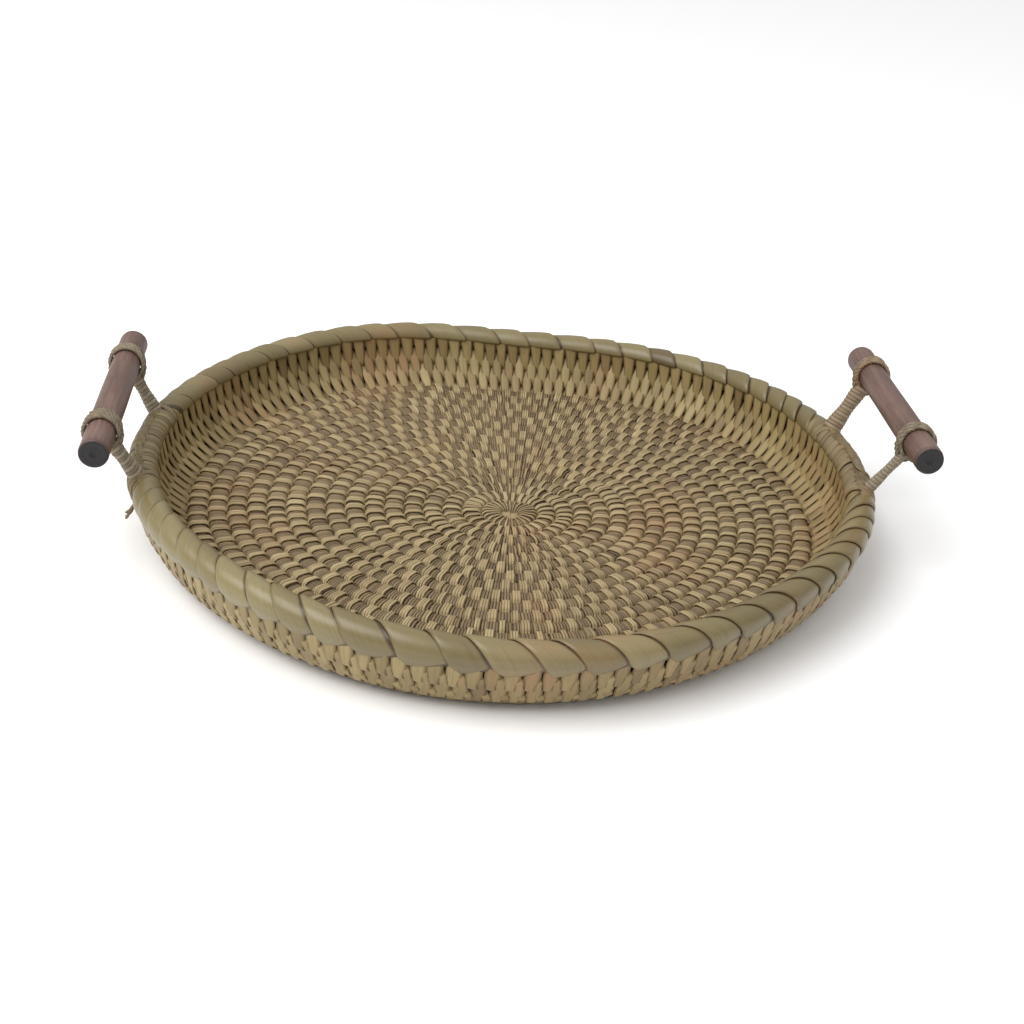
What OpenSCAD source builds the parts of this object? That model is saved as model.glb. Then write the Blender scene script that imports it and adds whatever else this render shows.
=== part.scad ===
// Round coiled rattan serving tray with two raised stick grips.
// Frame: millimetres, +Z up, the tray stands on Z = 0 and the grips lie along Y at each end of X.

/* [Floor] */
// Rows of cane in the floor, inside the foot row
floor_rows = 16; // [10:1:18]
// Distance from one floor row to the next
floor_pitch = 7.75; // [7.2:0.05:8.4]
// Diameter of the cane inside the floor rows
floor_cane_d = 6.3; // [5:0.1:6.6]
// Height of the floor rows' centres above the table
floor_z = 4.4; // [4.3:0.1:5]

/* [Foot and wall] */
// Outside radius of the bound foot row, which carries the tray
foot_bound_r = 4.2; // [4:0.1:4.6]
// Diameter of the cane inside the foot row
foot_cane_d = 6.6; // [5.6:0.1:7]
// Height of the foot row's centre, less than its radius so that its underside is pressed flat
foot_z = 3.9; // [3.7:0.05:4]
// Outside radius of a bound wall row
wall_bound_r = 4.4; // [4.2:0.1:4.8]
// Diameter of the cane inside the wall rows
wall_cane_d = 7.6; // [6.4:0.1:7.8]
// Lean from the vertical of the step from the foot row to the lower wall row, in degrees
lean_low = 48; // [40:1:55]
// Lean of the step from the lower wall row to the upper one, in degrees
lean_mid = 26; // [20:1:35]
// Lean of the step from the upper wall row to the rim, in degrees
lean_rim = 10; // [4:1:16]

/* [Rim] */
// Diameter of the rim rod
rim_rod_d = 9.4; // [8:0.1:10]
// Outside radius of the wrapped rim
rim_bound_r = 5.7; // [5.3:0.05:6]
// Wide strips round the rim on each long side
wide_wraps = 26; // [18:1:32]
// Narrow strips round the rim at each handle
narrow_wraps = 18; // [12:1:22]
// Half of the angle at each handle that the narrow strips cover, in degrees
handle_zone = 13; // [12:0.5:16]

/* [Handles] */
// Diameter of the round grip sticks
grip_d = 11.6; // [10:0.1:13]
// Length of the left grip stick
left_grip_len = 108; // [96:1:120]
// Length of the right grip stick
right_grip_len = 102; // [96:1:120]
// Distance of the left grip's axis from the tray's centre
left_grip_x = 155; // [153:0.5:158]
// Distance of the right grip's axis from the tray's centre
right_grip_x = 158.6; // [155:0.1:160]
// Height of the left grip's axis
left_grip_z = 52; // [50:0.5:58]
// Height of the right grip's axis
right_grip_z = 55.5; // [50:0.5:58]
// Half of the distance between the two loops on one grip
loop_y = 33; // [30:0.5:36]
// Half of the distance between the two posts where they stand on the rim
post_y = 28; // [25:0.5:29]
// Diameter of the cane posts
post_d = 4.6; // [4:0.1:5]

/* [Hidden] */
$fn = 64;
// Slack between a cane and the strips bound round it
slack = 0.05;
// How far neighbouring bound rows press into each other
press = 0.1;
// Thickness of the bound skin between two rows
skin_web = 5;
floor_bound_r = (floor_pitch + press) / 2;
centre_r = floor_pitch - floor_bound_r - slack;
foot_r = floor_rows * floor_pitch + floor_bound_r + foot_bound_r + slack;
step_low = foot_bound_r + wall_bound_r + slack;
step_mid = 2 * wall_bound_r - press;
step_rim = wall_bound_r + rim_bound_r + slack;
foot_at = [foot_r, foot_z];
low_at = foot_at + step_low * [sin(lean_low), cos(lean_low)];
high_at = low_at + step_mid * [sin(lean_mid), cos(lean_mid)];
rim_at = high_at + step_rim * [sin(lean_rim), cos(lean_rim)];
post_x = sqrt(pow(rim_at[0], 2) - pow(post_y, 2));
// Running clearance of a grip stick in its loops, on the radius
grip_play = 0.05;
loop_in_r = grip_d / 2 + grip_play;
loop_out_r = loop_in_r + 2.7;
loop_w = 6.5;
// Thickness of the fine strips on the posts
strip_t = 0.65;
// Width of one turn of the fine strips on the posts
strip_w = 2;
// Angle about the tray's centre that half of a post's tie round the rim covers
tie_half = 1.9;
pale_cane = [0.70, 0.62, 0.44];
floor_strip = [0.62, 0.54, 0.40];
rim_strip = [0.66, 0.61, 0.40];
grip_wood = [0.50, 0.38, 0.34];

// A closed round row about Z, from a 2D section placed at [r, z]
module row(at, section_r) {
    rotate_extrude() translate(at) circle(section_r);
}

// A flat web that joins the sections at a and b
module web(a, b) {
    d = b - a;
    translate(a) rotate(atan2(d[1], d[0])) translate([0, -skin_web / 2]) square([norm(d), skin_web]);
}

module centre_start() color(floor_strip)
    rotate_extrude() polygon([[0, 1], [centre_r - 1, 1], [centre_r, 2.2], [centre_r, floor_z + 2.4],
        [centre_r - 1, floor_z + 3.6], [0, floor_z + 3.9]]);

module floor_coil() color(pale_cane)
    for (i = [1:floor_rows]) row([i * floor_pitch, floor_z], floor_cane_d / 2);

// The skin of split cane strips that wraps every floor row and ties it to the next
module floor_binding() color(floor_strip) rotate_extrude() difference() {
    union() {
        for (i = [1:floor_rows]) translate([i * floor_pitch, floor_z]) circle(floor_bound_r);
        for (i = [1:floor_rows - 1]) web([i, 0] * floor_pitch + [0, floor_z], [i + 1, 0] * floor_pitch + [0, floor_z]);
    }
    for (i = [1:floor_rows]) translate([i * floor_pitch, floor_z]) circle(floor_cane_d / 2 + slack);
}

module foot_coil() color(pale_cane) row(foot_at, foot_cane_d / 2);

// The bound foot row, pressed flat where it stands on the table
module foot_binding() color(floor_strip) rotate_extrude() difference() {
    translate(foot_at) circle(foot_bound_r);
    translate(foot_at) circle(foot_cane_d / 2 + slack);
    translate([foot_r - 2 * foot_bound_r, -2 * foot_bound_r]) square([4 * foot_bound_r, 2 * foot_bound_r]);
}

module lower_wall_coil() color(pale_cane) row(low_at, wall_cane_d / 2);
module upper_wall_coil() color(pale_cane) row(high_at, wall_cane_d / 2);

// The skin of wide flat strips that wraps both wall rows and ties them together
module wall_binding() color(rim_strip) rotate_extrude() difference() {
    union() {
        translate(low_at) circle(wall_bound_r);
        translate(high_at) circle(wall_bound_r);
        web(low_at, high_at);
    }
    translate(low_at) circle(wall_cane_d / 2 + slack);
    translate(high_at) circle(wall_cane_d / 2 + slack);
}

module rim_rod() color(pale_cane) row(rim_at, rim_rod_d / 2);

// Strips side by side round the rim rod, from one angle to another
module rim_strips(from, to, count) {
    each_turn = (to - from) / count;
    gap = 0.04;
    for (i = [0:count - 1]) rotate([0, 0, from + i * each_turn + gap])
        rotate_extrude(angle = each_turn - 2 * gap) translate(rim_at) difference() {
            circle(rim_bound_r);
            circle(rim_rod_d / 2 + slack);
        }
}

module rim_wrap() color(rim_strip) {
    rim_strips(handle_zone, 180 - handle_zone, wide_wraps);
    rim_strips(180 + handle_zone, 360 - handle_zone, wide_wraps);
}

module left_rim_lashing() color(rim_strip) rim_strips(180 - handle_zone, 180 + handle_zone, narrow_wraps);
module right_rim_lashing() color(rim_strip) rim_strips(-handle_zone, handle_zone, narrow_wraps);

// Places a post's children with Z along the post, its zero at the rim rod's centre.
// sx is -1 on the left and 1 on the right, sy is 1 on the far side and -1 on the near side.
module on_post(sx, sy, gx, gz) {
    run = [gx - post_x, loop_y - post_y, gz - rim_at[1]];
    tilt = atan2(norm([run[0], run[1]]), run[2]);
    turn = atan2(sy * run[1], sx * run[0]);
    translate([sx * post_x, sy * post_y, rim_at[1]]) rotate([0, tilt, turn]) children();
}
function post_run(gx, gz) = norm([gx - post_x, loop_y - post_y, gz - rim_at[1]]);

// Cuts away what reaches into the grip's loop
module clear_of_loop(sx, gx, gz) {
    difference() {
        children();
        translate([sx * gx, 0, gz]) rotate([90, 0, 0])
            cylinder(r = loop_out_r + slack, h = 2 * (loop_y + loop_w), center = true);
    }
}

// A post stands on the bound rim and ends at the grip's loop
module post(sx, sy, gx, gz) color(pale_cane) difference() {
    clear_of_loop(sx, gx, gz) on_post(sx, sy, gx, gz) cylinder(d = post_d, h = post_run(gx, gz));
    row(rim_at, rim_bound_r + slack);
}
module left_far_post() post(-1, 1, left_grip_x, left_grip_z);
module left_near_post() post(-1, -1, left_grip_x, left_grip_z);
module right_far_post() post(1, 1, right_grip_x, right_grip_z);
module right_near_post() post(1, -1, right_grip_x, right_grip_z);

// One turn of fine strip round a post
module strip_turn(at) {
    translate([0, 0, at]) difference() {
        cylinder(r = post_d / 2 + slack + strip_t, h = strip_w);
        translate([0, 0, -1]) cylinder(r = post_d / 2 + slack, h = strip_w + 2);
    }
}

module neck_binding(sx, sy, gx, gz) color(floor_strip) {
    first = rim_bound_r + 2.2;
    last = post_run(gx, gz) - loop_out_r - strip_w - 1;
    turns = floor((last - first) / (strip_w + 0.2));
    on_post(sx, sy, gx, gz) for (i = [0:turns]) strip_turn(first + i * (last - first) / turns);
}
module left_far_neck_binding() neck_binding(-1, 1, left_grip_x, left_grip_z);
module left_near_neck_binding() neck_binding(-1, -1, left_grip_x, left_grip_z);
module right_far_neck_binding() neck_binding(1, 1, right_grip_x, right_grip_z);
module right_near_neck_binding() neck_binding(1, -1, right_grip_x, right_grip_z);

// The strands of a post that run down both sides of its foot and round the rim
module post_tie(sx, sy, gx, gz) color(floor_strip) difference() {
    middle = atan2(sy * post_y, sx * post_x);
    rotate([0, 0, middle - tie_half]) rotate_extrude(angle = 2 * tie_half) translate(rim_at) difference() {
        circle(rim_bound_r + slack + strip_t);
        circle(rim_bound_r + slack);
    }
    on_post(sx, sy, gx, gz) cylinder(r = post_d / 2 + slack, h = post_run(gx, gz));
    row(high_at, wall_bound_r + slack);
}
module left_far_post_tie() post_tie(-1, 1, left_grip_x, left_grip_z);
module left_near_post_tie() post_tie(-1, -1, left_grip_x, left_grip_z);
module right_far_post_tie() post_tie(1, 1, right_grip_x, right_grip_z);
module right_near_post_tie() post_tie(1, -1, right_grip_x, right_grip_z);

// A wound loop round a grip stick, with a round back and a true bore for the stick
module grip_loop(sx, sy, gx, gz) color(floor_strip)
    translate([sx * gx, sy * loop_y, gz]) rotate([90, 0, 0]) rotate_extrude() polygon([
        [loop_in_r, -loop_w / 2], [loop_in_r + 1.5, -loop_w / 2], [loop_out_r, -loop_w / 4],
        [loop_out_r, loop_w / 4], [loop_in_r + 1.5, loop_w / 2], [loop_in_r, loop_w / 2]]);
module left_far_grip_loop() grip_loop(-1, 1, left_grip_x, left_grip_z);
module left_near_grip_loop() grip_loop(-1, -1, left_grip_x, left_grip_z);
module right_far_grip_loop() grip_loop(1, 1, right_grip_x, right_grip_z);
module right_near_grip_loop() grip_loop(1, -1, right_grip_x, right_grip_z);

// A straight round stick with eased ends
module grip(sx, gx, gz, len) color(grip_wood)
    translate([sx * gx, 0, gz]) rotate([90, 0, 0]) rotate_extrude() polygon([
        [0, -len / 2], [grip_d / 2 - 1, -len / 2], [grip_d / 2, -len / 2 + 1],
        [grip_d / 2, len / 2 - 1], [grip_d / 2 - 1, len / 2], [0, len / 2]]);
module left_grip() grip(-1, left_grip_x, left_grip_z, left_grip_len);
module right_grip() grip(1, right_grip_x, right_grip_z, right_grip_len);

centre_start();
floor_coil();
floor_binding();
foot_coil();
foot_binding();
lower_wall_coil();
upper_wall_coil();
wall_binding();
rim_rod();
rim_wrap();
left_rim_lashing();
right_rim_lashing();
left_far_post();
left_near_post();
right_far_post();
right_near_post();
left_far_neck_binding();
left_near_neck_binding();
right_far_neck_binding();
right_near_neck_binding();
left_far_post_tie();
left_near_post_tie();
right_far_post_tie();
right_near_post_tie();
left_far_grip_loop();
left_near_grip_loop();
right_far_grip_loop();
right_near_grip_loop();
left_grip();
right_grip();
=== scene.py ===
"""A round coiled rattan serving tray with two stick grips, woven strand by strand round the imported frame."""

import math

import bpy
import numpy as np
from mathutils import Matrix, Vector


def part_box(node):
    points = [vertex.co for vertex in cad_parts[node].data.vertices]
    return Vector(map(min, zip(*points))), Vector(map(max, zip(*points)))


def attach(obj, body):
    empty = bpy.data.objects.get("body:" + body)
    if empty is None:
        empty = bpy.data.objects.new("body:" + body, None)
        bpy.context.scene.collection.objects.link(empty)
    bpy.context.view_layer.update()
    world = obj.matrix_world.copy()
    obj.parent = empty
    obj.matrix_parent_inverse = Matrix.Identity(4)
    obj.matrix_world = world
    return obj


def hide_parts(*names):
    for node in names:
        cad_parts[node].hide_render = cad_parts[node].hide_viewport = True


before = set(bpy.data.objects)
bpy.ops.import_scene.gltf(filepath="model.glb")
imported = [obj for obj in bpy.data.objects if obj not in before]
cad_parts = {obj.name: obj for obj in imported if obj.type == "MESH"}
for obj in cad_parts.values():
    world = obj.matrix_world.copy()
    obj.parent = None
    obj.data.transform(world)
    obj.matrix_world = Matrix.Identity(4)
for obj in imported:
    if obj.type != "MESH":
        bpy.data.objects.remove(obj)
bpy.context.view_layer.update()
MM = 0.001
TURN = 2 * math.pi
rng = np.random.default_rng(11)

# ---------------------------------------------------------------- places, from the frame


def cane_row(node):
    """Where a round row's cane runs, as [radius, height], and the cane's own radius."""
    low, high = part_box(node)
    cane = (high.z - low.z) / 2
    return np.array([high.x - cane, (high.z + low.z) / 2]), cane


FLOOR_ROWS = 16
BAND_ENDS = (8, 12, 15, 17)     # the last row of each floor piece
ROW_POWER = 3.1                 # how square a wrapped floor row is
floor_edge, floor_cane = cane_row("floor_coil")
foot_at, foot_cane = cane_row("foot_coil")
low_at, wall_cane = cane_row("lower_wall_coil")
high_at, _ = cane_row("upper_wall_coil")
rim_at, rim_rod = cane_row("rim_rod")
PITCH = floor_edge[0] / FLOOR_ROWS
RIM_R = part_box("rim_wrap")[1].y
RIM_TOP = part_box("rim_wrap")[1].z
ROWS = [(np.array([i * PITCH, floor_edge[1]]), floor_cane) for i in range(FLOOR_ROWS + 1)]
ROWS += [(foot_at, foot_cane), (low_at, wall_cane), (high_at, wall_cane), (rim_at, rim_rod)]
FOOT, LOW, HIGH, RIM = range(FLOOR_ROWS + 1, FLOOR_ROWS + 5)

# ---------------------------------------------------------------- sizes of the weave

# the floor
FINE_W = 1.12 * MM                        # width of a fine floor strand
FINE_T = 0.62 * MM                        # its thickness
RAISED = 0.85 * MM                        # how far a long stitch stands above the wraps it crosses

# the wall
STRIP_W = 3.35 * MM                       # width of a flat wall strip, before the changes below
STRIP_T = 0.5 * MM                        # its thickness
STRIP_LEAN = 0.2                          # how far it leans from one row to the next, in strip steps
STRIP_IN = (-0.3, 1.45)                   # mm that it is wider at its ends, and between two rows, inside
STRIP_OUT = (-0.1, 2.4)                   # the same outside
WALL_HALF = 4.3 * MM                      # half of a wall row's height, along the wall
WALL_TURNS = 146                          # turns of wall strip round each pair of rows

# the rim
WIDE_WRAP = 16.6 * MM                     # width of a rim strip at the front and the back
SIDE_WRAP = 11.0 * MM                     # the same next to the handles
WRAP_T = 0.45 * MM                        # its thickness
WRAP_OVER = 1.3 * MM                      # how far it reaches past its own width, to lie on its neighbour
WRAP_SLANT = 7.0 * MM                     # how far it slants from the crest to its lower end
RIM_UNDER = 0.42 * MM                     # thickness of the wall strips that lie under the rim's wraps
TUCK_DOWN = 4.5 * MM                      # where a wrap turns in outside, below the rod's centre
TUCK_END = 1.2 * MM                       # half the height of its end there
TUCK_IN = (0.4 * MM, 2.2 * MM)            # inside, where its slip under the wall strips starts and ends
SLIP = 1.6 * MM                           # how far it slips in
LASHED = {"left": (-12.6, 15.0), "right": (-13.0, 13.0)}  # degrees at each handle with narrow rim strips
LASH_STRIP = {"left": 2.75 * MM, "right": 4.4 * MM}       # width of a narrow strip

# the handles
NECK_R = {("left", "far"): 2.5 * MM, ("left", "near"): 2.7 * MM,
          ("right", "far"): 3.2 * MM, ("right", "near"): 1.95 * MM}
NECK_STRIP = 1.6 * MM                     # pitch of the strip wound round a neck
STUB_AT = (3.6 * MM, -7.5 * MM)           # the left near lashing's cut ends, out and up from the rim's centre
STUB_TURN = math.radians(0.8)             # how far round the rim they lie from the post
STUB_ENDS = 5                             # and how many there are

# the unevenness of handwork
SHIFT = np.array([3.5, -10.0]) * MM       # how far the floor's centre lies from the tray's
FLAT_DEPTH = 11.7 * MM                    # how far the far side is flattened
FLAT_AT = math.radians(85)                # where, and over what angle
FLAT_WIDE = 0.376
OUT_WAVES = ((3, 1.0, 0.3), (4, 1.2, 0.3))  # waves round the rim, with their cosine and sine parts in mm
FRONT_IN = 1.8 * MM                       # how far the near side is pressed in
SADDLE = 0.96 * MM                        # half of how far the rim dips between the handles

EDGE_PAINTED_SHADE = np.array([-0.3, -0.3, -0.3, 0.0, 0.0, -0.3])  # painted shade: a strand is darker along its edges and underside, where it meets its neighbours

# ---------------------------------------------------------------- geometry helpers


def unit(v):
    return v / np.maximum(np.linalg.norm(v, axis=-1, keepdims=True), 1e-12)


def settle(points):
    """Bends ideal points to the hand-made shape: the weave's centre lies off the middle, the far side is
    flattened and the rim dips between the handles. It leaves the tray as it is at both handles."""
    p = np.array(points, float)
    r = np.hypot(p[..., 0], p[..., 1])
    angle = np.arctan2(p[..., 1], p[..., 0])
    inside = np.clip(1 - r / (foot_at[0] + PITCH / 2), 0, 1)
    free = 1 - np.abs(np.cos(angle)) ** 6
    away = np.angle(np.exp(1j * (angle - FLAT_AT)))
    shift = 0.35 * MM * np.sin(3 * angle + 1) + 0.25 * MM * np.sin(7 * angle + r / (9 * MM))
    shift -= FRONT_IN * np.clip(-np.sin(angle), 0, 1)
    for waves, cosine, sine in OUT_WAVES:
        shift += cosine * MM * np.cos(waves * angle) + sine * MM * np.sin(waves * angle)
    shift = (shift * free - FLAT_DEPTH * np.exp(-(away / FLAT_WIDE) ** 2)) * r / RIM_R
    radial = (r + shift) / np.maximum(r, 1e-9)
    p[..., 0] = p[..., 0] * radial + SHIFT[0] * inside
    p[..., 1] = p[..., 1] * radial + SHIFT[1] * inside
    lumps = 0.25 * np.sin(5 * angle + r / (6 * MM)) - 0.65 * np.cos(angle) + 0.4 * np.cos(3 * angle)
    dip = SADDLE * (np.cos(2 * angle) - 1) + lumps * MM * free
    p[..., 2] = np.maximum(p[..., 2] + dip * np.clip(p[..., 2] / RIM_TOP, 0, 1), 0.02 * MM)
    return p


def rounded(direction, along, half, power):
    """The furthest point of a rounded box in each direction. Half is its half-size along and across the row
    step, and a power of 2 makes it an ellipse."""
    across = np.array([-along[1], along[0]])
    q = power / (power - 1)
    m = np.stack([half[0] * (direction @ along), half[1] * (direction @ across)], -1)
    size = (np.abs(m) ** q).sum(-1, keepdims=True) ** (1 / q)
    local = np.sign(m) * (np.abs(m) / size) ** (q - 1) * half
    return local[:, :1] * along + local[:, 1:] * across


def belt(a, half_a, b, half_b, count, power=2.0, fine=360):
    """A closed belt round two row sections in the [radius, height] plane, as points and outward normals. It
    starts at the first row's far side and passes over the top, or the inside of a wall, first. A pair of
    powers gives each section its own roundness."""
    along = unit(a - b)
    start = math.atan2(along[1], along[0])
    angle = start + np.linspace(0, TURN, fine + 1)
    normal = np.stack([np.cos(angle), np.sin(angle)], 1)
    half_a, half_b, power = (np.broadcast_to(np.asarray(h, float), 2) for h in (half_a, half_b, power))
    at_a, at_b = a + rounded(normal, along, half_a, power[0]), b + rounded(normal, along, half_b, power[1])
    on_a = (normal * at_a).sum(1) >= (normal * at_b).sum(1)
    points = np.where(on_a[:, None], at_a, at_b)
    length = np.concatenate([[0], np.cumsum(np.linalg.norm(np.diff(points, axis=0), axis=1))])
    length += np.arange(fine + 1) * 1e-9
    at = np.linspace(0, length[-1], count, endpoint=False)
    points = np.stack([np.interp(at, length, points[:, i]) for i in range(2)], 1)
    normal = unit(np.stack([np.interp(at, length, normal[:, i]) for i in range(2)], 1))
    return points, normal


def arc(center, half, first, last, count, power=2.0):
    """Points of a rounded box about a centre, from one angle to another in degrees."""
    angle = np.radians(np.linspace(first, last, count))
    c, s = np.cos(angle), np.sin(angle)
    size = (np.abs(c) ** power + np.abs(s) ** power) ** (-1 / power)
    return center + np.stack([half[0] * size * c, half[1] * size * s], 1)


def long_stitch(at, own_half, below, below_r, lift):
    """A long stitch's closed line round a row and the row inside it, with its normals and its level: pressed
    on the first row at level 0, standing up over the second at level 1, and with a dip between the two."""
    half = min((at[0] - below[0]) / 2 - 0.12 * MM, below_r + lift)
    parts = [arc(at, own_half, 0, 138, 7, ROW_POWER), arc(below, (half, below_r + lift), 24, 170, 10, 4.6),
             arc(below, (half, below_r), 215, 265, 2), arc(at, own_half, 275, 335, 3)]
    points = np.concatenate(parts)
    level = np.repeat([0.0, 1.0, 0.0, 0.0], [len(part) for part in parts])
    tangent = unit(np.roll(points, -1, 0) - np.roll(points, 1, 0))
    return points, np.stack([tangent[:, 1], -tangent[:, 0]], 1), level


def strip_profile(width, thick, crown=0.35, roll=0.0):
    """A strand's section as (across, out) pairs: flat below, rounded above. Any argument may be an array."""
    width, thick, crown, roll = np.broadcast_arrays(width, thick, crown, roll)
    half = width / 2
    across = np.stack([-half * 0.9, half * 0.9, half, half * 0.55, -half * 0.55, -half], -1)
    low, mid, top = -thick / 2, thick * (0.5 - crown), thick / 2
    out = np.stack([low, low, mid * 0.6, top, top, mid * 0.6], -1)
    return np.stack([across, out + across * roll[..., None]], -1)


def sweep(path, normal, profile, closed):
    """Verts and quads of a profile carried along a path. Profile is (points, sides, 2)."""
    if closed:
        tangent = unit(np.roll(path, -1, 0) - np.roll(path, 1, 0))
    else:
        tangent = unit(np.gradient(path, axis=0))
    across = unit(np.cross(tangent, normal))
    normal = np.cross(across, tangent)
    verts = path[:, None] + across[:, None] * profile[..., :1] + normal[:, None] * profile[..., 1:]
    count, sides = profile.shape[:2]
    i = np.arange(count if closed else count - 1)[:, None]
    j = np.arange(sides)[None]
    nxt, side = (i + 1) % count, (j + 1) % sides
    quads = np.stack([i * sides + j, i * sides + side, nxt * sides + side, nxt * sides + j], -1)
    return verts.reshape(-1, 3), quads.reshape(-1, 4)


class Pile:
    """Gathers strands into one mesh, with each strand's length, side and shade kept for its material."""

    def __init__(self):
        self.verts, self.quads, self.notes, self.caps, self.count = [], [], [], [], 0

    def add(self, verts, quads, notes, caps=()):
        self.verts.append(verts)
        self.quads.append(quads + self.count)
        self.notes.append(notes)
        self.caps += [[v + self.count for v in cap] for cap in caps]
        self.count += len(verts)

    def strand(self, path, normal, profile, shade, closed=True, start=0.0, bend=True):
        path = np.asarray(path, float)
        verts, quads = sweep(path, normal, profile, closed)
        count, sides = profile.shape[:2]
        run = start + np.concatenate([[0], np.cumsum(np.linalg.norm(np.diff(path, axis=0), axis=1))])
        notes = np.zeros((count, sides, 3))
        notes[..., 0] = run[:, None]
        notes[..., 1] = profile[..., 0]
        notes[..., 2] = np.asarray(shade, float).reshape(-1, 1)
        # painted shade along each strand's edges and underside
        if sides == len(EDGE_PAINTED_SHADE):
            notes[..., 2] += EDGE_PAINTED_SHADE
        caps = [] if closed else [list(range(sides))[::-1], [(count - 1) * sides + s for s in range(sides)]]
        self.add(settle(verts) if bend else verts, quads, notes.reshape(-1, 3), caps)

    def piece(self, name, material, slot, body, *replaced):
        verts, quads = np.concatenate(self.verts), np.concatenate(self.quads)
        notes = np.concatenate(self.notes)
        corners = np.concatenate([quads.ravel()] + [np.array(c) for c in self.caps]).astype(np.int32)
        sizes = np.concatenate([np.full(len(quads), 4)] + [[len(c)] for c in self.caps]).astype(np.int32)
        mesh = bpy.data.meshes.new(name)
        mesh.vertices.add(len(verts))
        mesh.vertices.foreach_set("co", verts.astype(np.float32).ravel())
        mesh.loops.add(len(corners))
        mesh.loops.foreach_set("vertex_index", corners)
        mesh.polygons.add(len(sizes))
        mesh.polygons.foreach_set("loop_start", np.concatenate([[0], np.cumsum(sizes)[:-1]]).astype(np.int32))
        mesh.update(calc_edges=True)
        mesh.validate()
        mesh.shade_smooth()
        mesh.attributes.new("strand", "FLOAT_VECTOR", "POINT").data.foreach_set(
            "vector", notes.astype(np.float32).ravel())
        return place(bpy.data.objects.new(name, mesh), material, slot, body, *replaced)


def place(obj, material, slot, body, *replaced):
    bpy.context.scene.collection.objects.link(obj)
    obj.data.materials.append(material)
    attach(obj, body)
    if replaced:
        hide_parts(*replaced)
    return obj


def on_tray(section, angle):
    """Points or directions of the [radius, height] plane, turned to an angle about Z."""
    return np.stack([section[..., 0] * np.cos(angle), section[..., 0] * np.sin(angle), section[..., 1]], -1)


def winding(pile, sections, starts, ends, widths, thick, shades, crown=0.35, rolls=None, course=None):
    """One strand wound turn after turn. Each turn has its own section (points, normals) and runs back from
    its start angle to its end angle, evenly or by a course, which gives the share of the way at each
    point."""
    path, out, profiles, shade = [], [], [], []
    for i, (points, normals) in enumerate(sections):
        share = np.arange(len(points)) / len(points) if course is None else course
        angle = starts[i] + (ends[i] - starts[i]) * share
        path.append(on_tray(points, angle))
        out.append(on_tray(normals, angle))
        roll = 0.0 if rolls is None else rolls[i]
        profiles.append(strip_profile(np.broadcast_to(widths[i], len(points)), thick, crown, roll))
        shade.append(np.broadcast_to(shades[i], len(points)))
    pile.strand(np.concatenate(path), np.concatenate(out), np.concatenate(profiles), np.concatenate(shade),
                start=rng.uniform(0, 9))


# ---------------------------------------------------------------- materials


class Nodes:
    """A short way to write a material's node tree."""

    def __init__(self, name):
        self.material = bpy.data.materials.new(name)
        self.material.use_nodes = True
        self.tree = self.material.node_tree
        self.shader = self.tree.nodes["Principled BSDF"]

    def add(self, kind, **inputs):
        node = self.tree.nodes.new(kind)
        for key, value in inputs.items():
            self.set(node, key.replace("_", " "), value)
        return node

    def set(self, node, key, value):
        socket = node.inputs[key] if not key.isdigit() else node.inputs[int(key)]
        if isinstance(value, bpy.types.NodeSocket):
            self.tree.links.new(value, socket)
        else:
            socket.default_value = value

    def math(self, operation, a, b):
        node = self.add("ShaderNodeMath")
        node.operation = operation
        self.set(node, "0", a)
        self.set(node, "1", b)
        return node.outputs[0]

    def noise(self, vector, scale, detail=3.0, rough=0.55):
        return self.add("ShaderNodeTexNoise", Vector=vector, Scale=scale, Detail=detail,
                        Roughness=rough).outputs["Fac"]

    def stretch(self, vector, scale):
        node = self.add("ShaderNodeVectorMath", **{"0": vector, "1": scale})
        node.operation = "MULTIPLY"
        return node.outputs[0]

    def ramp(self, value, *stops):
        node = self.add("ShaderNodeValToRGB", Fac=value)
        band = node.color_ramp
        while len(band.elements) < len(stops):
            band.elements.new(0.5)
        for element, (at, color) in zip(band.elements, stops):
            element.position = at
            element.color = (*color, 1)
        return node.outputs["Color"]

    def mix(self, factor, a, b, blend="MIX"):
        node = self.tree.nodes.new("ShaderNodeMix")
        node.data_type, node.blend_type = "RGBA", blend
        self.set(node, "0", factor)
        for index, value in ((6, a), (7, b)):
            self.set(node, str(index), value if isinstance(value, bpy.types.NodeSocket) else (*value, 1))
        return node.outputs[2]


PAINTED_CREASE_SHADOW = (0.055, 0.032, 0.010)            # painted shadow: the darkest a strand gets, in the creases along its edges
RED_PATCH = (0.30, 0.155, 0.07)


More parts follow.
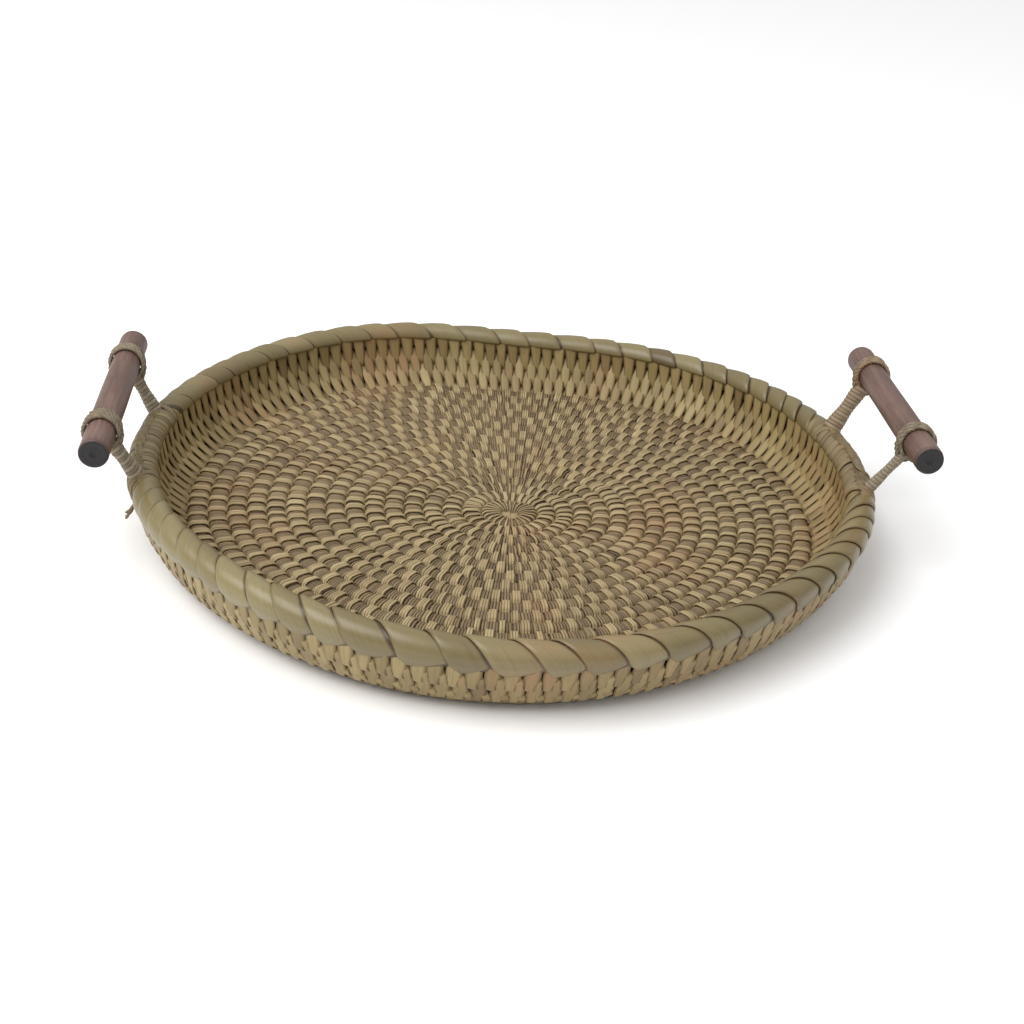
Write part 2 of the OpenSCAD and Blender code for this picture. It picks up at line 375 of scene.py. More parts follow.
def cane_material(name, dark, mid, light, rough, gloss=0.5, streak=1.0, patches=0.5):
    """Split rattan: own tone per strand plus painted light and shade, long fibres, and here and there a
    reddish stretch.
    """
    n = Nodes(name)
    strand = n.add("ShaderNodeAttribute")
    strand.attribute_name = "strand"
    split = n.add("ShaderNodeSeparateXYZ", Vector=strand.outputs["Vector"]).outputs
    place_at = n.add("ShaderNodeNewGeometry").outputs["Position"]
    fibre_at = n.add("ShaderNodeCombineXYZ", X=n.math("MULTIPLY", split[0], 60),
                     Y=n.math("MULTIPLY", split[1], 3200), Z=n.math("MULTIPLY", split[2], 37)).outputs[0]
    fibre = n.noise(fibre_at, 1.0, 4.0, 0.6)
    blotch_at = n.add("ShaderNodeCombineXYZ", X=n.math("MULTIPLY", split[0], 70),
                      Y=n.math("MULTIPLY", split[2], 91), Z=0.0).outputs[0]
    blotch = n.noise(blotch_at, 1.0, 2.0)
    shade = n.math("ADD", n.math("MULTIPLY", split[2], 0.55), n.math("MULTIPLY", blotch, 0.45))
    # the lowest stop is the painted crease shadow
    color = n.ramp(shade, (0.0, PAINTED_CREASE_SHADOW), (0.2, dark), (0.52, mid), (0.82, light))
    fibre_dark = n.ramp(fibre, (0.32, (0.62, 0.58, 0.52)), (0.55, (1, 1, 1)))
    color = n.mix(0.75 * streak, color, fibre_dark, "MULTIPLY")
    wide = n.noise(place_at, 22.0, 3.0, 0.5)
    red = n.math("MULTIPLY", n.ramp(wide, (0.5, (0, 0, 0)), (0.68, (1, 1, 1))),
                 n.ramp(blotch, (0.42, (0, 0, 0)), (0.6, (1, 1, 1))))
    color = n.mix(n.math("MULTIPLY", red, patches), color, RED_PATCH)
    n.set(n.shader, "Base Color", color)
    n.set(n.shader, "Roughness", n.math("ADD", n.math("MULTIPLY", fibre, 0.2), rough - 0.1))
    n.shader.inputs["Specular IOR Level"].default_value = gloss
    bump = n.add("ShaderNodeBump", Strength=0.35 * streak, Distance=0.00025, Height=fibre)
    n.set(n.shader, "Normal", bump.outputs[0])
    return n.material


def grip_material():
    """Smooth mauve-brown stick, with long faint grain, small scars and dark cut ends."""
    n = Nodes("grip_wood")
    strand = n.add("ShaderNodeAttribute")
    strand.attribute_name = "strand"
    split = n.add("ShaderNodeSeparateXYZ", Vector=strand.outputs["Vector"]).outputs
    place_at = n.add("ShaderNodeNewGeometry").outputs["Position"]
    grain = n.noise(n.stretch(place_at, (900, 45, 900)), 1.0, 4.0, 0.6)
    cloud = n.noise(n.stretch(place_at, (130, 40, 130)), 1.0, 3.0)
    color = n.ramp(n.math("ADD", n.math("MULTIPLY", grain, 0.5), n.math("MULTIPLY", cloud, 0.5)),
                   (0.30, (0.068, 0.036, 0.027)), (0.5, (0.140, 0.080, 0.062)), (0.72, (0.215, 0.140, 0.110)))
    spots = n.noise(n.stretch(place_at, (300, 90, 300)), 1.0, 2.0)
    scar = n.ramp(spots, (0.66, (0, 0, 0)), (0.72, (1, 1, 1)))
    color = n.mix(n.math("MULTIPLY", scar, 0.6), color, (0.16, 0.06, 0.045))
    color = n.mix(split[2], color, (0.007, 0.005, 0.005))
    n.set(n.shader, "Base Color", color)
    n.set(n.shader, "Roughness", n.math("ADD", n.math("MULTIPLY", grain, 0.25), 0.38))
    bump = n.add("ShaderNodeBump", Strength=0.4, Distance=0.0003, Height=grain)
    n.set(n.shader, "Normal", bump.outputs[0])
    return n.material


# each with its dark, middle and light colours, then its roughness
# painted shade: the canes inside the rows are far darker than the strands, to stand for the shade in the gaps
# where they show
shaded_core_cane = cane_material("shaded_core_cane", (0.07, 0.042, 0.020), (0.11, 0.070, 0.035), (0.15, 0.10, 0.055), 0.7)
# painted light and shade: the wraps, down in the recesses, are a darker copy of the same cane as the raised
# long stitches
shaded_wrap_cane = cane_material("shaded_wrap_cane", (0.11, 0.072, 0.033), (0.237, 0.165, 0.077), (0.352, 0.262, 0.131),
                          0.62)
lit_stitch_cane = cane_material("lit_stitch_cane", (0.13, 0.088, 0.043), (0.317, 0.237, 0.117), (0.458, 0.363, 0.195),
                            0.55)
wall_cane_strip = cane_material("wall_strip", (0.17, 0.115, 0.044), (0.295, 0.216, 0.088),
                                (0.41, 0.318, 0.150), 0.5, patches=0.6)
rim_strip = cane_material("rim_strip", (0.115, 0.080, 0.032), (0.188, 0.149, 0.064), (0.272, 0.226, 0.108),
                          0.34, streak=0.7, patches=0.4)
lashing_strip = cane_material("lashing_strip", (0.125, 0.087, 0.038), (0.215, 0.166, 0.080),
                              (0.31, 0.25, 0.135), 0.45)
twine = cane_material("twine", (0.18, 0.142, 0.095), (0.29, 0.240, 0.172), (0.42, 0.365, 0.28), 0.7,
                      gloss=0.3)
grip_wood = grip_material()

# ---------------------------------------------------------------- floor

FIRST_STITCHES = 23                       # long stitches of the first row, which start from the centre
STITCH_SHARE = 0.37                       # the part of a row that long stitches cover


def stitch_spacing(radius):
    """Distance between long stitches along a floor row: close at the centre and wider towards the edge."""
    return 8.7 * MM * (1 - math.exp(-radius / (26 * MM)))


def stitch_angles(previous, row):
    """Long stitches of a row: midway between those of the last row, with new ones in its widest gaps."""
    radius = ROWS[row][0][0]
    wanted = round(TURN * radius / stitch_spacing(radius))
    if previous is None:
        return np.sort(np.linspace(0, TURN, wanted, endpoint=False) + rng.uniform(-0.02, 0.02, wanted))
    gaps = np.diff(np.append(previous, previous[0] + TURN))
    split = np.argsort(-(gaps * rng.uniform(0.9, 1.1, len(gaps))))[:max(wanted - len(previous), 0)]
    angles = [previous[i] + gap * part for i, gap in enumerate(gaps)
              for part in ((0.27, 0.73) if i in split else (0.5,))]
    angles = np.sort(np.array(angles))
    for _ in range(6):
        before, after = np.roll(angles, 1), np.roll(angles, -1)
        before[0] -= TURN
        after[-1] += TURN
        angles = 0.8 * angles + 0.2 * (before + after) / 2
    return angles + rng.normal(0, 0.035, len(angles)) * stitch_spacing(radius) / radius


def row_turns(row, angles):
    """The turns of strand round a floor row, in the order they are wound: each one's angle, and 1 for a long
    stitch or 0 for a short wrap."""
    radius = ROWS[row][0][0]
    step = FINE_W / radius
    spacing = TURN / len(angles) * radius
    group = 1 if row == 1 else max(1, round(STITCH_SHARE * spacing / FINE_W))
    turns, kinds = [], []
    for angle, gap in zip(angles, np.diff(np.append(angles, angles[0] + TURN))):
        size = group if row < 4 or rng.random() > 0.2 else max(1, group - 1)
        turns += [angle + (i - (size - 1) / 2) * step for i in range(size)]
        kinds += [1] * size
        room = gap - size * step
        shorts = max(0, int(room / step + 0.3)) if row > 1 else 1
        turns += [angle + (size / 2) * step + room * (i + 0.5) / shorts for i in range(shorts)]
        kinds += [0] * shorts
    order = np.argsort(turns)[::-1]
    return np.array(turns)[order], np.array(kinds)[order]


def weave_row(row, angles, piles):
    """Winds a floor row's strands: short wraps into the first pile and long stitches into the second."""
    at, cane = ROWS[row]
    below, below_cane = ROWS[row - 1] if row > 1 else (np.array([1.6 * MM, at[1]]), 1.3 * MM)
    half = np.array([cane + FINE_T / 2 + 0.2 * MM, cane + FINE_T / 2])
    turns, kinds = row_turns(row, angles)
    lifts = rng.normal(0, 0.09, len(turns)) * MM
    wrap, wrap_normals = belt(at, half, at - [1e-6, 0], half, 14, ROW_POWER)
    for kind, pile in enumerate(piles):
        for i in np.flatnonzero(kinds == kind):
            if i == 0 or kinds[i - 1] != kind:
                group_lift = rng.normal(0, 0.1) * MM
                group_shade = rng.normal(0, 0.09)
            narrow = 1.0
            if kind:
                lift = RAISED + group_lift + lifts[i]
                points, normals, level = long_stitch(at, half, below, below_cane + FINE_T / 2, lift)
                if row < 3:
                    narrow = np.clip(points[:, 0] / at[0] * 1.2, 0.4, 1)
                # painted light and shade: a stitch is lighter where it stands up over the row inside, darker
                # where it lies pressed on its own row
                shade = rng.normal(0.1, 0.06) * (1 - level) + (rng.normal(0.66, 0.1) + group_shade) * level
            else:
                points, normals = wrap + wrap_normals * lifts[i] * 0.6, wrap_normals
                shade = rng.normal(0.42, 0.17)
            wide = FINE_W * rng.uniform(0.9, 1.06) * (1.45 if row == 1 else 1.0) * narrow
            lean = (0.35 if kind else 0.5) * FINE_W / at[0]
            winding(pile, [(points, normals)], [turns[i]], [turns[i] - lean], [wide], FINE_T,
                    [np.clip(shade, 0, 1)])


def weave_floor():
    wraps, stitches = [Pile() for _ in BAND_ENDS], [Pile() for _ in BAND_ENDS]
    angles = np.linspace(0, TURN, FIRST_STITCHES, endpoint=False) + rng.normal(0, 0.03, FIRST_STITCHES)
    for row in range(1, FOOT + 1):
        if row > 1:
            angles = stitch_angles(angles if row > 2 else None, row)
        band = next(i for i, last in enumerate(BAND_ENDS) if row <= last)
        weave_row(row, angles, (wraps[band], stitches[band]))
    for i, (wrap_pile, stitch_pile) in enumerate(zip(wraps, stitches), 1):
        replaced = ("floor_binding", "foot_binding", "centre_start") if i == len(BAND_ENDS) else ()
        wrap_pile.piece(f"floor_wraps_{i}", shaded_wrap_cane, "floor_strip", "tray", *replaced)
        stitch_pile.piece(f"floor_stitches_{i}", lit_stitch_cane, "floor_strip", "tray")


def weave_canes():
    """The round canes inside the rows, which show only in the gaps of the weave. Those of the wall are drawn
    a little taller than round, so that no light comes through between them."""
    pile = Pile()
    ring = np.linspace(0, TURN, 12, endpoint=False)
    for row in range(1, RIM + 1):
        at, cane = ROWS[row]
        count = max(48, int(TURN * at[0] / (2.2 * MM)))
        tall = 1.0
        if row == RIM:
            tall = np.where(np.sin(ring) < 0, 1.45, 1.0)
        elif row > FOOT:
            tall = 1.2
        path = on_tray(np.broadcast_to(at, (count, 2)), np.linspace(0, TURN, count, endpoint=False))
        section = cane * np.stack([np.cos(ring), np.sin(ring) * tall], 1)
        profile = np.broadcast_to(section, (count, 12, 2))
        pile.strand(path, np.broadcast_to([0.0, 0, 1], (count, 3)), profile, 0.5)
    pile.piece("row_canes", shaded_core_cane, "cane_core", "tray", "floor_coil", "foot_coil", "lower_wall_coil",
               "upper_wall_coil", "rim_rod")


# ---------------------------------------------------------------- wall


def strip_course(points):
    """A wall strip's turn, point by point: the share of the turn, the share of its step along the row, and
    how much wider than its own width it is."""
    t = np.arange(points) / points
    course = np.interp(t, [0, 0.1, 0.4, 0.6, 0.9, 1],
                       [0, 0.25, 0.25 + STRIP_LEAN, 0.75 + STRIP_LEAN, 0.75, 1])
    between = -np.cos(2 * TURN * t)       # 1 between its two rows and -1 at its ends
    at_end, at_middle = (np.where(t < 0.5, inner, outer) for inner, outer in zip(STRIP_IN, STRIP_OUT))
    return t, course, np.abs(between) * np.where(between < 0, at_end, at_middle) * MM


def weave_wall():
    points = 40
    step = TURN / WALL_TURNS
    for i, (upper, lower) in enumerate(((LOW, FOOT), (HIGH, LOW), (RIM, HIGH))):
        pile = Pile()
        (a, cane_a), (b, cane_b) = ROWS[upper], ROWS[lower]
        first = i * (0.5 + STRIP_LEAN) * step
        starts = first + TURN - np.arange(WALL_TURNS) * step + rng.normal(0, 0.05, WALL_TURNS) * step
        ends = np.append(starts[1:], starts[0] - TURN)
        t, course, wider = strip_course(points)
        if upper == RIM:                  # nearly closed where it goes over the rod
            wider = np.where(t < 0.25, np.interp(t, [0.1, 0.19, 0.25], [2.9, 2.4, STRIP_IN[1]]) * MM, wider)
        sections, widths = [], []
        for _ in range(WALL_TURNS):
            lift = rng.uniform(0, 0.1) * MM
            raised = FINE_T if lower == FOOT else STRIP_T * 0.45
            half_a = rim_rod + 0.1 * MM if upper == RIM else [WALL_HALF, cane_a + STRIP_T * 0.5 + lift]
            half_b = [WALL_HALF if lower != FOOT else cane_b + STRIP_T + FINE_T,
                      cane_b + STRIP_T * 0.5 + raised + lift]
            sections.append(belt(a, half_a, b, half_b, points, (2.0 if upper == RIM else 3.4, 3.4)))
            widths.append((STRIP_W + wider) * rng.uniform(0.95, 1.05))
        shades = np.clip(rng.normal(0.5, 0.16, WALL_TURNS), 0, 1)
        rolls = rng.normal(0.02, 0.03, WALL_TURNS)
        winding(pile, sections, starts, ends, widths, STRIP_T, shades, 0.3, rolls, course)
        replaced = ("wall_binding",) if upper == HIGH else ()
        pile.piece(f"wall_strips_{i + 1}", wall_cane_strip, "wall_strip", "tray", *replaced)


# ---------------------------------------------------------------- rim

# places across a rim strip, from 1 at the side under its neighbour to -1 at the side on top of the other one
ACROSS = np.array([1, 0.86, 0.78, 0.7, 0.62, 0.5, 0.35, 0.1, -0.2, -0.5, -0.75, -0.9, -0.97, -1])[None]
RISE_AT = [0, 0.15, 0.3, 0.6, 0.875, 0.95, 1]             # shares of the way across, to the side on top
RISE = [0.02, 0.06, 0.42, 0.95, 1.1, 1.0, 0.55]           # mm that the strip stands out there
TUCK_SIDE = -0.5                                          # the place across at which a narrowed end lies


def rim_section(radius, count):
    """The closed line of a rim wrap: round over the rod, then straight down the outside of the wall, and
    tucked in above the last wall row. Inside, it slips under the wall strips at once."""
    down = unit(high_at - rim_at)
    tuck_half = (TUCK_END, radius - 0.3 * MM)
    points, normals = belt(rim_at, radius, rim_at + down * TUCK_DOWN, tuck_half, count, (2.0, 4.0))
    inside = np.array([-abs(down[1]), -abs(down[0])])
    depth, across = (points - rim_at) @ down, (points - rim_at) @ inside
    slipped = np.clip((depth - TUCK_IN[0]) / (TUCK_IN[1] - TUCK_IN[0]), 0, 1) * (across > 0)
    return points - np.outer(slipped * np.minimum(across, SLIP), inside), normals


def rim_slab(pile, start, width, shade):
    """One wide strip round the rim. Its side nearer to the last strip lies on top of that one, and below the
    rod it narrows to pass between two wall strips."""
    around = 60
    reach = width / 2 + WRAP_OVER
    section, normal = rim_section(rim_rod + RIM_UNDER, around)
    t = np.arange(around)[:, None] / around
    outward = np.where(t > 0.5, 1 - t, -t)                # share of the way round from the crest
    slant = WRAP_SLANT * np.sin(np.clip(outward / 0.3, -1, 1) * TURN / 4)
    wobble = rng.normal(0, 0.4) * MM * np.sin(outward * 9 + rng.uniform(0, TURN))
    low = np.clip((np.abs(outward) - 0.25) / 0.15, 0, 1)
    narrow = 1 - 0.78 * low * low * (3 - 2 * low)
    across = (TUCK_SIDE + (ACROSS - TUCK_SIDE) * narrow) * reach
    angle = start + (slant + wobble + across) / RIM_R
    lift = np.interp((1 - ACROSS) / 2, RISE_AT, RISE) * (1 - 0.85 * low) * MM
    grids = []
    for out in (lift, lift - WRAP_T * (1 - 0.6 * low)):
        line = section[:, None] + normal[:, None] * out[..., None]
        grids.append(settle(on_tray(line, angle)))
    ring = np.concatenate([grids[0], grids[1][:, ::-1]], 1)
    count, sides = ring.shape[:2]
    i, j = np.arange(count)[:, None], np.arange(sides)[None]
    quads = np.stack([i * sides + j, i * sides + (j + 1) % sides, ((i + 1) % count) * sides + (j + 1) % sides,
                      ((i + 1) % count) * sides + j], -1)
    covered = 1 - 2 * WRAP_OVER / reach                   # where the next strip's edge lies, across
    # painted shadow where the next strip's edge lies on this one, plus this strip's own darker edge on top;
    # both fade where it narrows
    painted_shadow_and_edge = np.clip((ACROSS - covered + 0.085) / 0.085, 0, 1) ** 2
    painted_shadow_and_edge = (painted_shadow_and_edge + 0.3 * np.clip((-ACROSS - 0.9) / 0.1, 0, 1)) * (1 - 0.85 * low)
    notes = np.zeros((count, sides, 3))
    notes[..., 0] = rng.uniform(0, 5) + t * TURN * rim_rod
    notes[..., 1] = np.concatenate([ACROSS, ACROSS[:, ::-1]], 1) * width / 2
    notes[..., 2] = shade - 1.2 * np.concatenate([painted_shadow_and_edge, painted_shadow_and_edge[:, ::-1]], 1)
    pile.add(ring.reshape(-1, 3), quads.reshape(-1, 4), notes.reshape(-1, 3))


def wrap_long_sides(spans):
    """Wide strips round the rim, over both spans of angle between the handles."""
    pile = Pile()
    for start, end in spans:
        wanted, at = [], start
        while at < end:
            width = SIDE_WRAP + (WIDE_WRAP - SIDE_WRAP) * math.sin(at) ** 2
            wanted.append(width * rng.uniform(0.85, 1.15))
            at += wanted[-1] / rim_at[0]
        widths = np.array(wanted) * (end - start) / np.sum(wanted)
        centres = start + np.cumsum(widths) - widths / 2
        for centre, width in zip(centres, widths):
            rim_slab(pile, centre, width * rim_at[0], np.clip(rng.normal(0.5, 0.15), 0, 1))
    pile.piece("rim_wide_wraps", rim_strip, "rim_strip", "tray", "rim_wrap")


def lash_side(side, low, high):
    """Narrow strips round the rim at a handle, close together."""
    strip = LASH_STRIP[side]
    pile = Pile()
    count = round((high - low) * RIM_R / strip)
    edges = np.linspace(high, low, count + 1)
    edges[1:-1] += rng.normal(0, 0.12, count - 1) * strip / RIM_R
    for start, end in zip(edges[:-1], edges[1:]):
        section = rim_section(rim_rod + 0.55 * MM + rng.uniform(0, 0.45) * MM, 40)
        slant = (2.6 + rng.normal(0, 0.35)) * MM / RIM_R
        shade = np.clip(rng.normal(0.5, 0.16), 0, 1)
        winding(pile, [section], [start + slant], [end - slant], [(start - end) * RIM_R * 1.06],
                0.9 * MM, [shade], 0.6, [rng.normal(0, 0.16)])
    pile.piece(f"{side}_rim_lashing_strips", lashing_strip, "rim_strip", "tray", f"{side}_rim_lashing")


def wrap_rim():
    left, right = np.radians(LASHED["left"]) + math.pi, np.radians(LASHED["right"])
    wrap_long_sides(((right[1], left[0]), (left[1], TURN + right[0])))
    lash_side("left", *left)
    lash_side("right", *right)


# ---------------------------------------------------------------- handles


def round_profile(radius, count, sides):
    ring = np.linspace(0, TURN, sides, endpoint=False)
    radius = np.broadcast_to(radius, count)
    return radius[:, None, None] * np.stack([np.cos(ring), np.sin(ring)], 1)[None]


def smooth_path(points, count):
    """A smooth curve through a few points."""
    points = np.array(points, float)
    ends = np.vstack([2 * points[0] - points[1], points, 2 * points[-1] - points[-2]])
    at = np.linspace(0, len(points) - 1 - 1e-9, count)
    i, t = at.astype(int), (at % 1)[:, None]
    p = [ends[i + k] for k in range(4)]
    return 0.5 * (2 * p[1] + (p[2] - p[0]) * t + (2 * p[0] - 5 * p[1] + 4 * p[2] - p[3]) * t ** 2
                  + (3 * p[1] - p[0] - 3 * p[2] + p[3]) * t ** 3)


def sides_along(path):
    """Two side directions along a path, without twist."""
    tangent = unit(np.gradient(path, axis=0))
    side = unit(np.cross(tangent[0], [0.3, 0.2, 1.0]))
    sides = []
    for t in tangent:
        side = unit(side - t * (side @ t))
        sides.append(side)
    sides = np.array(sides)
    return sides, np.cross(tangent, sides)


def twisted(pile, path, radius, plies, pitch):
    """A strand of plies twisted together along a path."""
    run = np.concatenate([[0], np.cumsum(np.linalg.norm(np.diff(path, axis=0), axis=1))])
    side, other = sides_along(path)
    ply_r = radius * 0.56
    for ply in range(plies):
        angle = run / pitch * TURN + ply * TURN / plies
        out = side * np.cos(angle)[:, None] + other * np.sin(angle)[:, None]
        pile.strand(path + out * (radius - ply_r), out, round_profile(ply_r, len(path), 6),
                    np.clip(rng.normal(0.5, 0.15), 0, 1), closed=False, start=rng.uniform(0, 5), bend=False)


def stand_post(name, foot, up, neck, neck_r):
    """The cane inside the neck, from the rim to the stick."""
    pile = Pile()
    path = smooth_path([foot + up * (rim_rod - MM), (neck[0] + neck[1]) / 2, neck[1]], 30)
    pile.strand(path, np.broadcast_to([0.0, 1.0, 0.2], (30, 3)), round_profile(neck_r * 0.72, 30, 10),
                np.linspace(0.4, 0.6, 30), closed=False, bend=False)
    pile.piece(f"{name}_post_cane", shaded_core_cane, "cane_core", "tray", f"{name}_post")


def wind_neck(name, up, neck, neck_r):
    """A flat strip wound up the neck."""
    pile = Pile()
    turns = max(3, round(np.linalg.norm(neck[1] - neck[0]) / NECK_STRIP))
    count = turns * 18
    t = np.linspace(0, 1, count)
    axis_at = neck[0] + np.outer(t, neck[1] + up * 0.6 * MM - neck[0])
    side, other = sides_along(axis_at)
    angle = t * turns * TURN + rng.uniform(0, TURN)
    out = side * np.cos(angle)[:, None] + other * np.sin(angle)[:, None]
    bulge = neck_r * (1 + 0.07 * np.sin(t * 9 + rng.uniform(0, 6)) + 0.22 * (1 - t) ** 4)
    profile = strip_profile(np.full(count, NECK_STRIP * 1.12), 0.7 * MM, 0.45, 0.14)
    path = axis_at + out * (bulge - 0.3 * MM)[:, None]
    pile.strand(path, out, profile, 0.5 + 0.3 * np.sin(t * turns * 3.1), closed=False, bend=False)
    pile.piece(f"{name}_neck_strips", twine, "post_binding", "tray", f"{name}_neck_binding")


def fray_ends(pile, around):
    """The cut ends of a lashing, which stick out below the rim."""
    end_at = on_tray(rim_at + STUB_AT, around + STUB_TURN)
    outward = np.array([math.cos(around), math.sin(around), 0])
    for _ in range(STUB_ENDS):
        tip = end_at + outward * 3.9 * MM - np.array([0, 0, 5.2]) * MM + rng.normal(0, 0.8, 3) * MM
        bow = (end_at + tip) / 2 + rng.normal(0, 0.4, 3) * MM
        path = smooth_path([end_at - outward * 3 * MM, end_at, bow, tip], 14)
        profile = round_profile(np.linspace(0.7, 0.45, 14) * MM, 14, 6)
        pile.strand(path, np.broadcast_to([0.0, 0.2, 1.0], (14, 3)), profile, rng.uniform(0.2, 0.6),
                    closed=False, bend=False)


def tie_foot(name, foot, neck_r):
    """The neck's strands, which part round its foot and pass round the rim."""
    pile = Pile()
    count = 44
    around = math.atan2(foot[1], foot[0])
    points, normals = rim_section(rim_rod + 1.15 * MM, count)
    from_neck = (np.arange(count) / count + 0.04 + 0.5) % 1 - 0.5
    for leg in (-1, 1):
        for apart in (0.35 * MM, 1.55 * MM):
            spread = leg * (apart + neck_r * 0.75 * np.exp(-(from_neck / 0.13) ** 2))
            profile = strip_profile(np.full(count, 1.5 * MM), 0.95 * MM, 0.6, rng.normal(0, 0.1))
            pile.strand(on_tray(points, around + spread / rim_at[0]), on_tray(normals, around), profile,
                        np.clip(rng.normal(0.5, 0.15), 0, 1))
    if name == "left_near":
        fray_ends(pile, around)
    pile.piece(f"{name}_post_tie_strips", lashing_strip, "post_binding", "tray", f"{name}_post_tie")


def wind_loop(name, loop, up, grip_r, neck_r):
    """Strands wound round the stick, and their legs, which run down into the neck."""
    pile = Pile()
    wound_r = grip_r + 0.95 * MM
    turns, advance = 3.4, 1.75 * MM
    t = np.linspace(0, 1, int(turns * 40))
    angle = t * turns * TURN + rng.uniform(0, TURN)
    axial = (t - 0.5) * turns * advance + 0.55 * MM * np.sin(angle)
    path = loop + np.stack([wound_r * np.cos(angle), axial, wound_r * np.sin(angle)], 1)
    twisted(pile, path, 0.95 * MM, 3, 5.2 * MM)
    across = unit(np.cross(up, [0, 1, 0]))
    for lean in (-across, across):
        for shift in (-1.1 * MM, 1.1 * MM):
            beside = np.array([0, shift, 0])
            begin = loop + lean * (wound_r + 0.1 * MM) + beside
            below = loop + lean * wound_r * 0.78 - up * wound_r * 0.8 + beside * 0.7
            into = loop - up * (wound_r + 3.4 * MM) + lean * neck_r * 0.45 + beside * 0.4
            last = loop - up * (wound_r + 6.5 * MM) + lean * neck_r * 0.3
            leg = smooth_path([begin + up * 2.0 * MM, begin, below, into, last], 36)
            twisted(pile, leg, 0.82 * MM, 2, 4.6 * MM)
    pile.piece(f"{name}_loop_strands", twine, "loop_winding", "tray", f"{name}_grip_loop")


def handle_corner(side, end):
    """A post between the rim and the stick, with what binds it and the loop that holds the stick."""
    name, neck_r = f"{side}_{end}", NECK_R[side, end]
    loop_low, loop_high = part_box(f"{name}_grip_loop")
    loop = np.array((loop_low + loop_high) / 2)
    tie_low, tie_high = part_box(f"{name}_post_tie")
    foot_y = (tie_low.y + tie_high.y) / 2
    foot_x = math.copysign(math.sqrt(rim_at[0] ** 2 - foot_y ** 2), loop[0])
    foot = np.array([foot_x, foot_y, rim_at[1]])
    grip_low, grip_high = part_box(f"{side}_grip")
    grip_r = (grip_high.z - grip_low.z) / 2
    up = unit(loop - foot)
    neck = (foot + up * (rim_rod + 0.8 * MM), loop - up * (grip_r + 1.2 * MM))
    stand_post(name, foot, up, neck, neck_r)
    wind_neck(name, up, neck, neck_r)
    tie_foot(name, foot, neck_r)
    wind_loop(name, loop, up, grip_r, neck_r)


def grip_stick(side):
    """A smooth round stick, a little uneven, with worn edges and dark, dished ends."""
    low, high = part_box(f"{side}_grip")
    middle = np.array((low + high) / 2)
    radius, length = (high.z - low.z) / 2, high.y - low.y
    rings = [(0.0, 0.9), (0.18, 0.9), (0.30, 0.25), (0.42, 0.55), (0.7, 0.35), (0.9, 0.12), (0.97, 0.45),
             (1.0, 1.3)]                                  # (share of the radius, mm from the end)
    cut = [(share, length / 2 - inset * MM, 1.0 if share < 0.93 else 0.35) for share, inset in rings]
    stations = [(share, -y, dark) for share, y, dark in cut]
    stations += [(1.0, y, 0.0) for y in np.linspace(-length / 2 + 2.6 * MM, length / 2 - 2.6 * MM, 70)]
    stations += cut[::-1]
    sides = 48
    around = np.linspace(0, TURN, sides, endpoint=False)
    phase = rng.uniform(0, TURN, 4)
    verts, notes = [], []
    for share, y, dark in stations:
        swell = 1 - 0.012 * (1 + np.sin(y / (11 * MM) + phase[0]))
        swell = swell + 0.006 * np.sin(3 * around + phase[1] + y / (30 * MM))
        r = radius * max(share, 0.004) * np.minimum(swell, 1.0)
        verts.append(np.stack([middle[0] + r * np.cos(around), np.full(sides, y),
                               middle[2] + r * np.sin(around)], 1))
        notes.append(np.stack([np.full(sides, y), r * around, np.full(sides, dark)], 1))
    i, j = np.arange(len(stations) - 1)[:, None], np.arange(sides)[None]
    quads = np.stack([i * sides + j, (i + 1) * sides + j, (i + 1) * sides + (j + 1) % sides,
                      i * sides + (j + 1) % sides], -1).reshape(-1, 4)
    pile = Pile()
    pile.add(np.concatenate(verts), quads, np.concatenate(notes),
             [list(range(sides)), [(len(stations) - 1) * sides + s for s in range(sides)][::-1]])
    pile.piece(f"{side}_grip_stick", grip_wood, "grip_wood", f"{side}_grip", f"{side}_grip")


# ---------------------------------------------------------------- stage, light and camera

SKY = ((0.0, 0.3), (0.8, 1.0))            # sky brightness at two heights: 0 is the horizon and 1 is overhead
KEY_AT = (-0.85, -0.45, 1.25)             # the lamp, a disk that faces the tray
KEY_SIZE = 1.4
KEY_POWER = 20


def set_stage():
    mesh = bpy.data.meshes.new("floor")
    size = 6.0
    corners = [(x * size, y * size, 0) for x, y in ((-1, -1), (1, -1), (1, 1), (-1, 1))]
    mesh.from_pydata(corners, [], [(0, 1, 2, 3)])
    floor = bpy.data.objects.new("floor", mesh)
    floor.location.z = -0.0004
    bpy.context.scene.collection.objects.link(floor)
    n = Nodes("pale_floor")
    n.set(n.shader, "Base Color", (0.95, 0.95, 0.95, 1))
    n.set(n.shader, "Roughness", 0.9)
    mesh.materials.append(n.material)


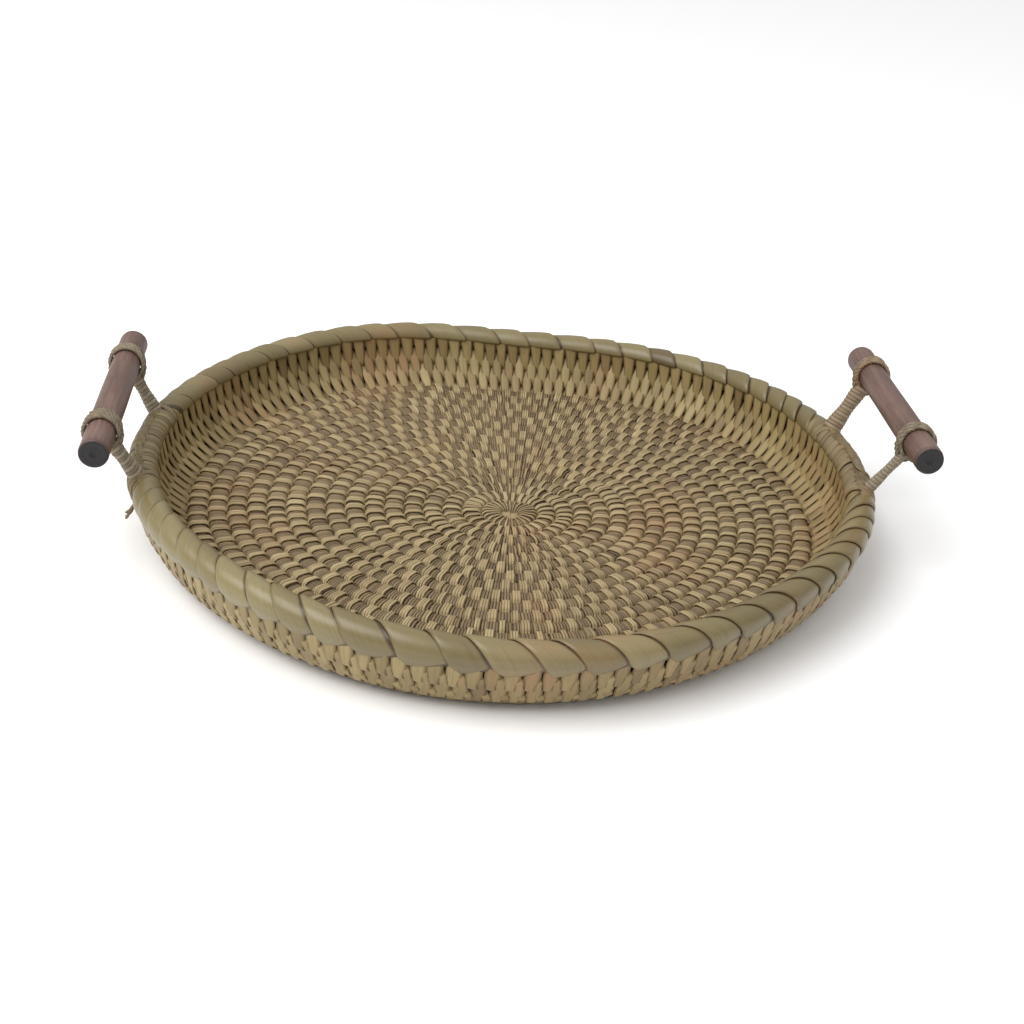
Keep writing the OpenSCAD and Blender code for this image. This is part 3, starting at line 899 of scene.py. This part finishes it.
def set_light():
    """A soft overhead light, a little to the left and in front, in a studio that is dimmer at the horizon."""
    world = bpy.data.worlds.new("studio")
    bpy.context.scene.world = world
    world.use_nodes = True
    tree = world.node_tree
    way = tree.nodes.new("ShaderNodeTexCoord")
    split = tree.nodes.new("ShaderNodeSeparateXYZ")
    ramp = tree.nodes.new("ShaderNodeValToRGB")
    for element, (at, level) in zip(ramp.color_ramp.elements, SKY):
        element.position = at
        element.color = (level, level, level, 1)
    tree.links.new(way.outputs["Generated"], split.inputs[0])
    tree.links.new(split.outputs["Z"], ramp.inputs[0])
    tree.links.new(ramp.outputs["Color"], tree.nodes["Background"].inputs["Color"])
    tree.nodes["Background"].inputs["Strength"].default_value = 1.0
    lamp = bpy.data.lights.new("key", "AREA")
    lamp.shape = "DISK"
    lamp.size = KEY_SIZE
    lamp.energy = KEY_POWER
    obj = bpy.data.objects.new("key", lamp)
    obj.location = KEY_AT
    obj.rotation_euler = (-Vector(KEY_AT)).to_track_quat("-Z", "Y").to_euler()
    bpy.context.scene.collection.objects.link(obj)


def set_camera():
    azimuth = math.radians(-5.3)
    elevation = math.radians(28.2)
    roll = math.radians(3.64)
    distance = 4.43 * RIM_R
    back = Vector((math.sin(azimuth) * math.cos(elevation), -math.cos(azimuth) * math.cos(elevation),
                   math.sin(elevation)))
    right = (-back).cross(Vector((0, 0, 1))).normalized()
    up = right.cross(-back)
    right, up = (right * math.cos(roll) + up * math.sin(roll),
                 up * math.cos(roll) - right * math.sin(roll))
    data = bpy.data.cameras.new("camera")
    data.lens = 55.86
    data.sensor_width = 36
    data.shift_x = 0.0124
    data.shift_y = 0.006
    data.clip_start = 0.01
    data.clip_end = 50
    camera = bpy.data.objects.new("camera", data)
    camera.matrix_world = Matrix((right, up, back)).transposed().to_4x4()
    camera.location = back * distance
    bpy.context.scene.collection.objects.link(camera)
    bpy.context.scene.camera = camera
    bpy.context.scene.view_settings.view_transform = "Standard"


set_stage()
set_light()
set_camera()
weave_canes()
weave_floor()
weave_wall()
wrap_rim()
for corner in NECK_R:
    handle_corner(*corner)
for grip_side in ("left", "right"):
    grip_stick(grip_side)
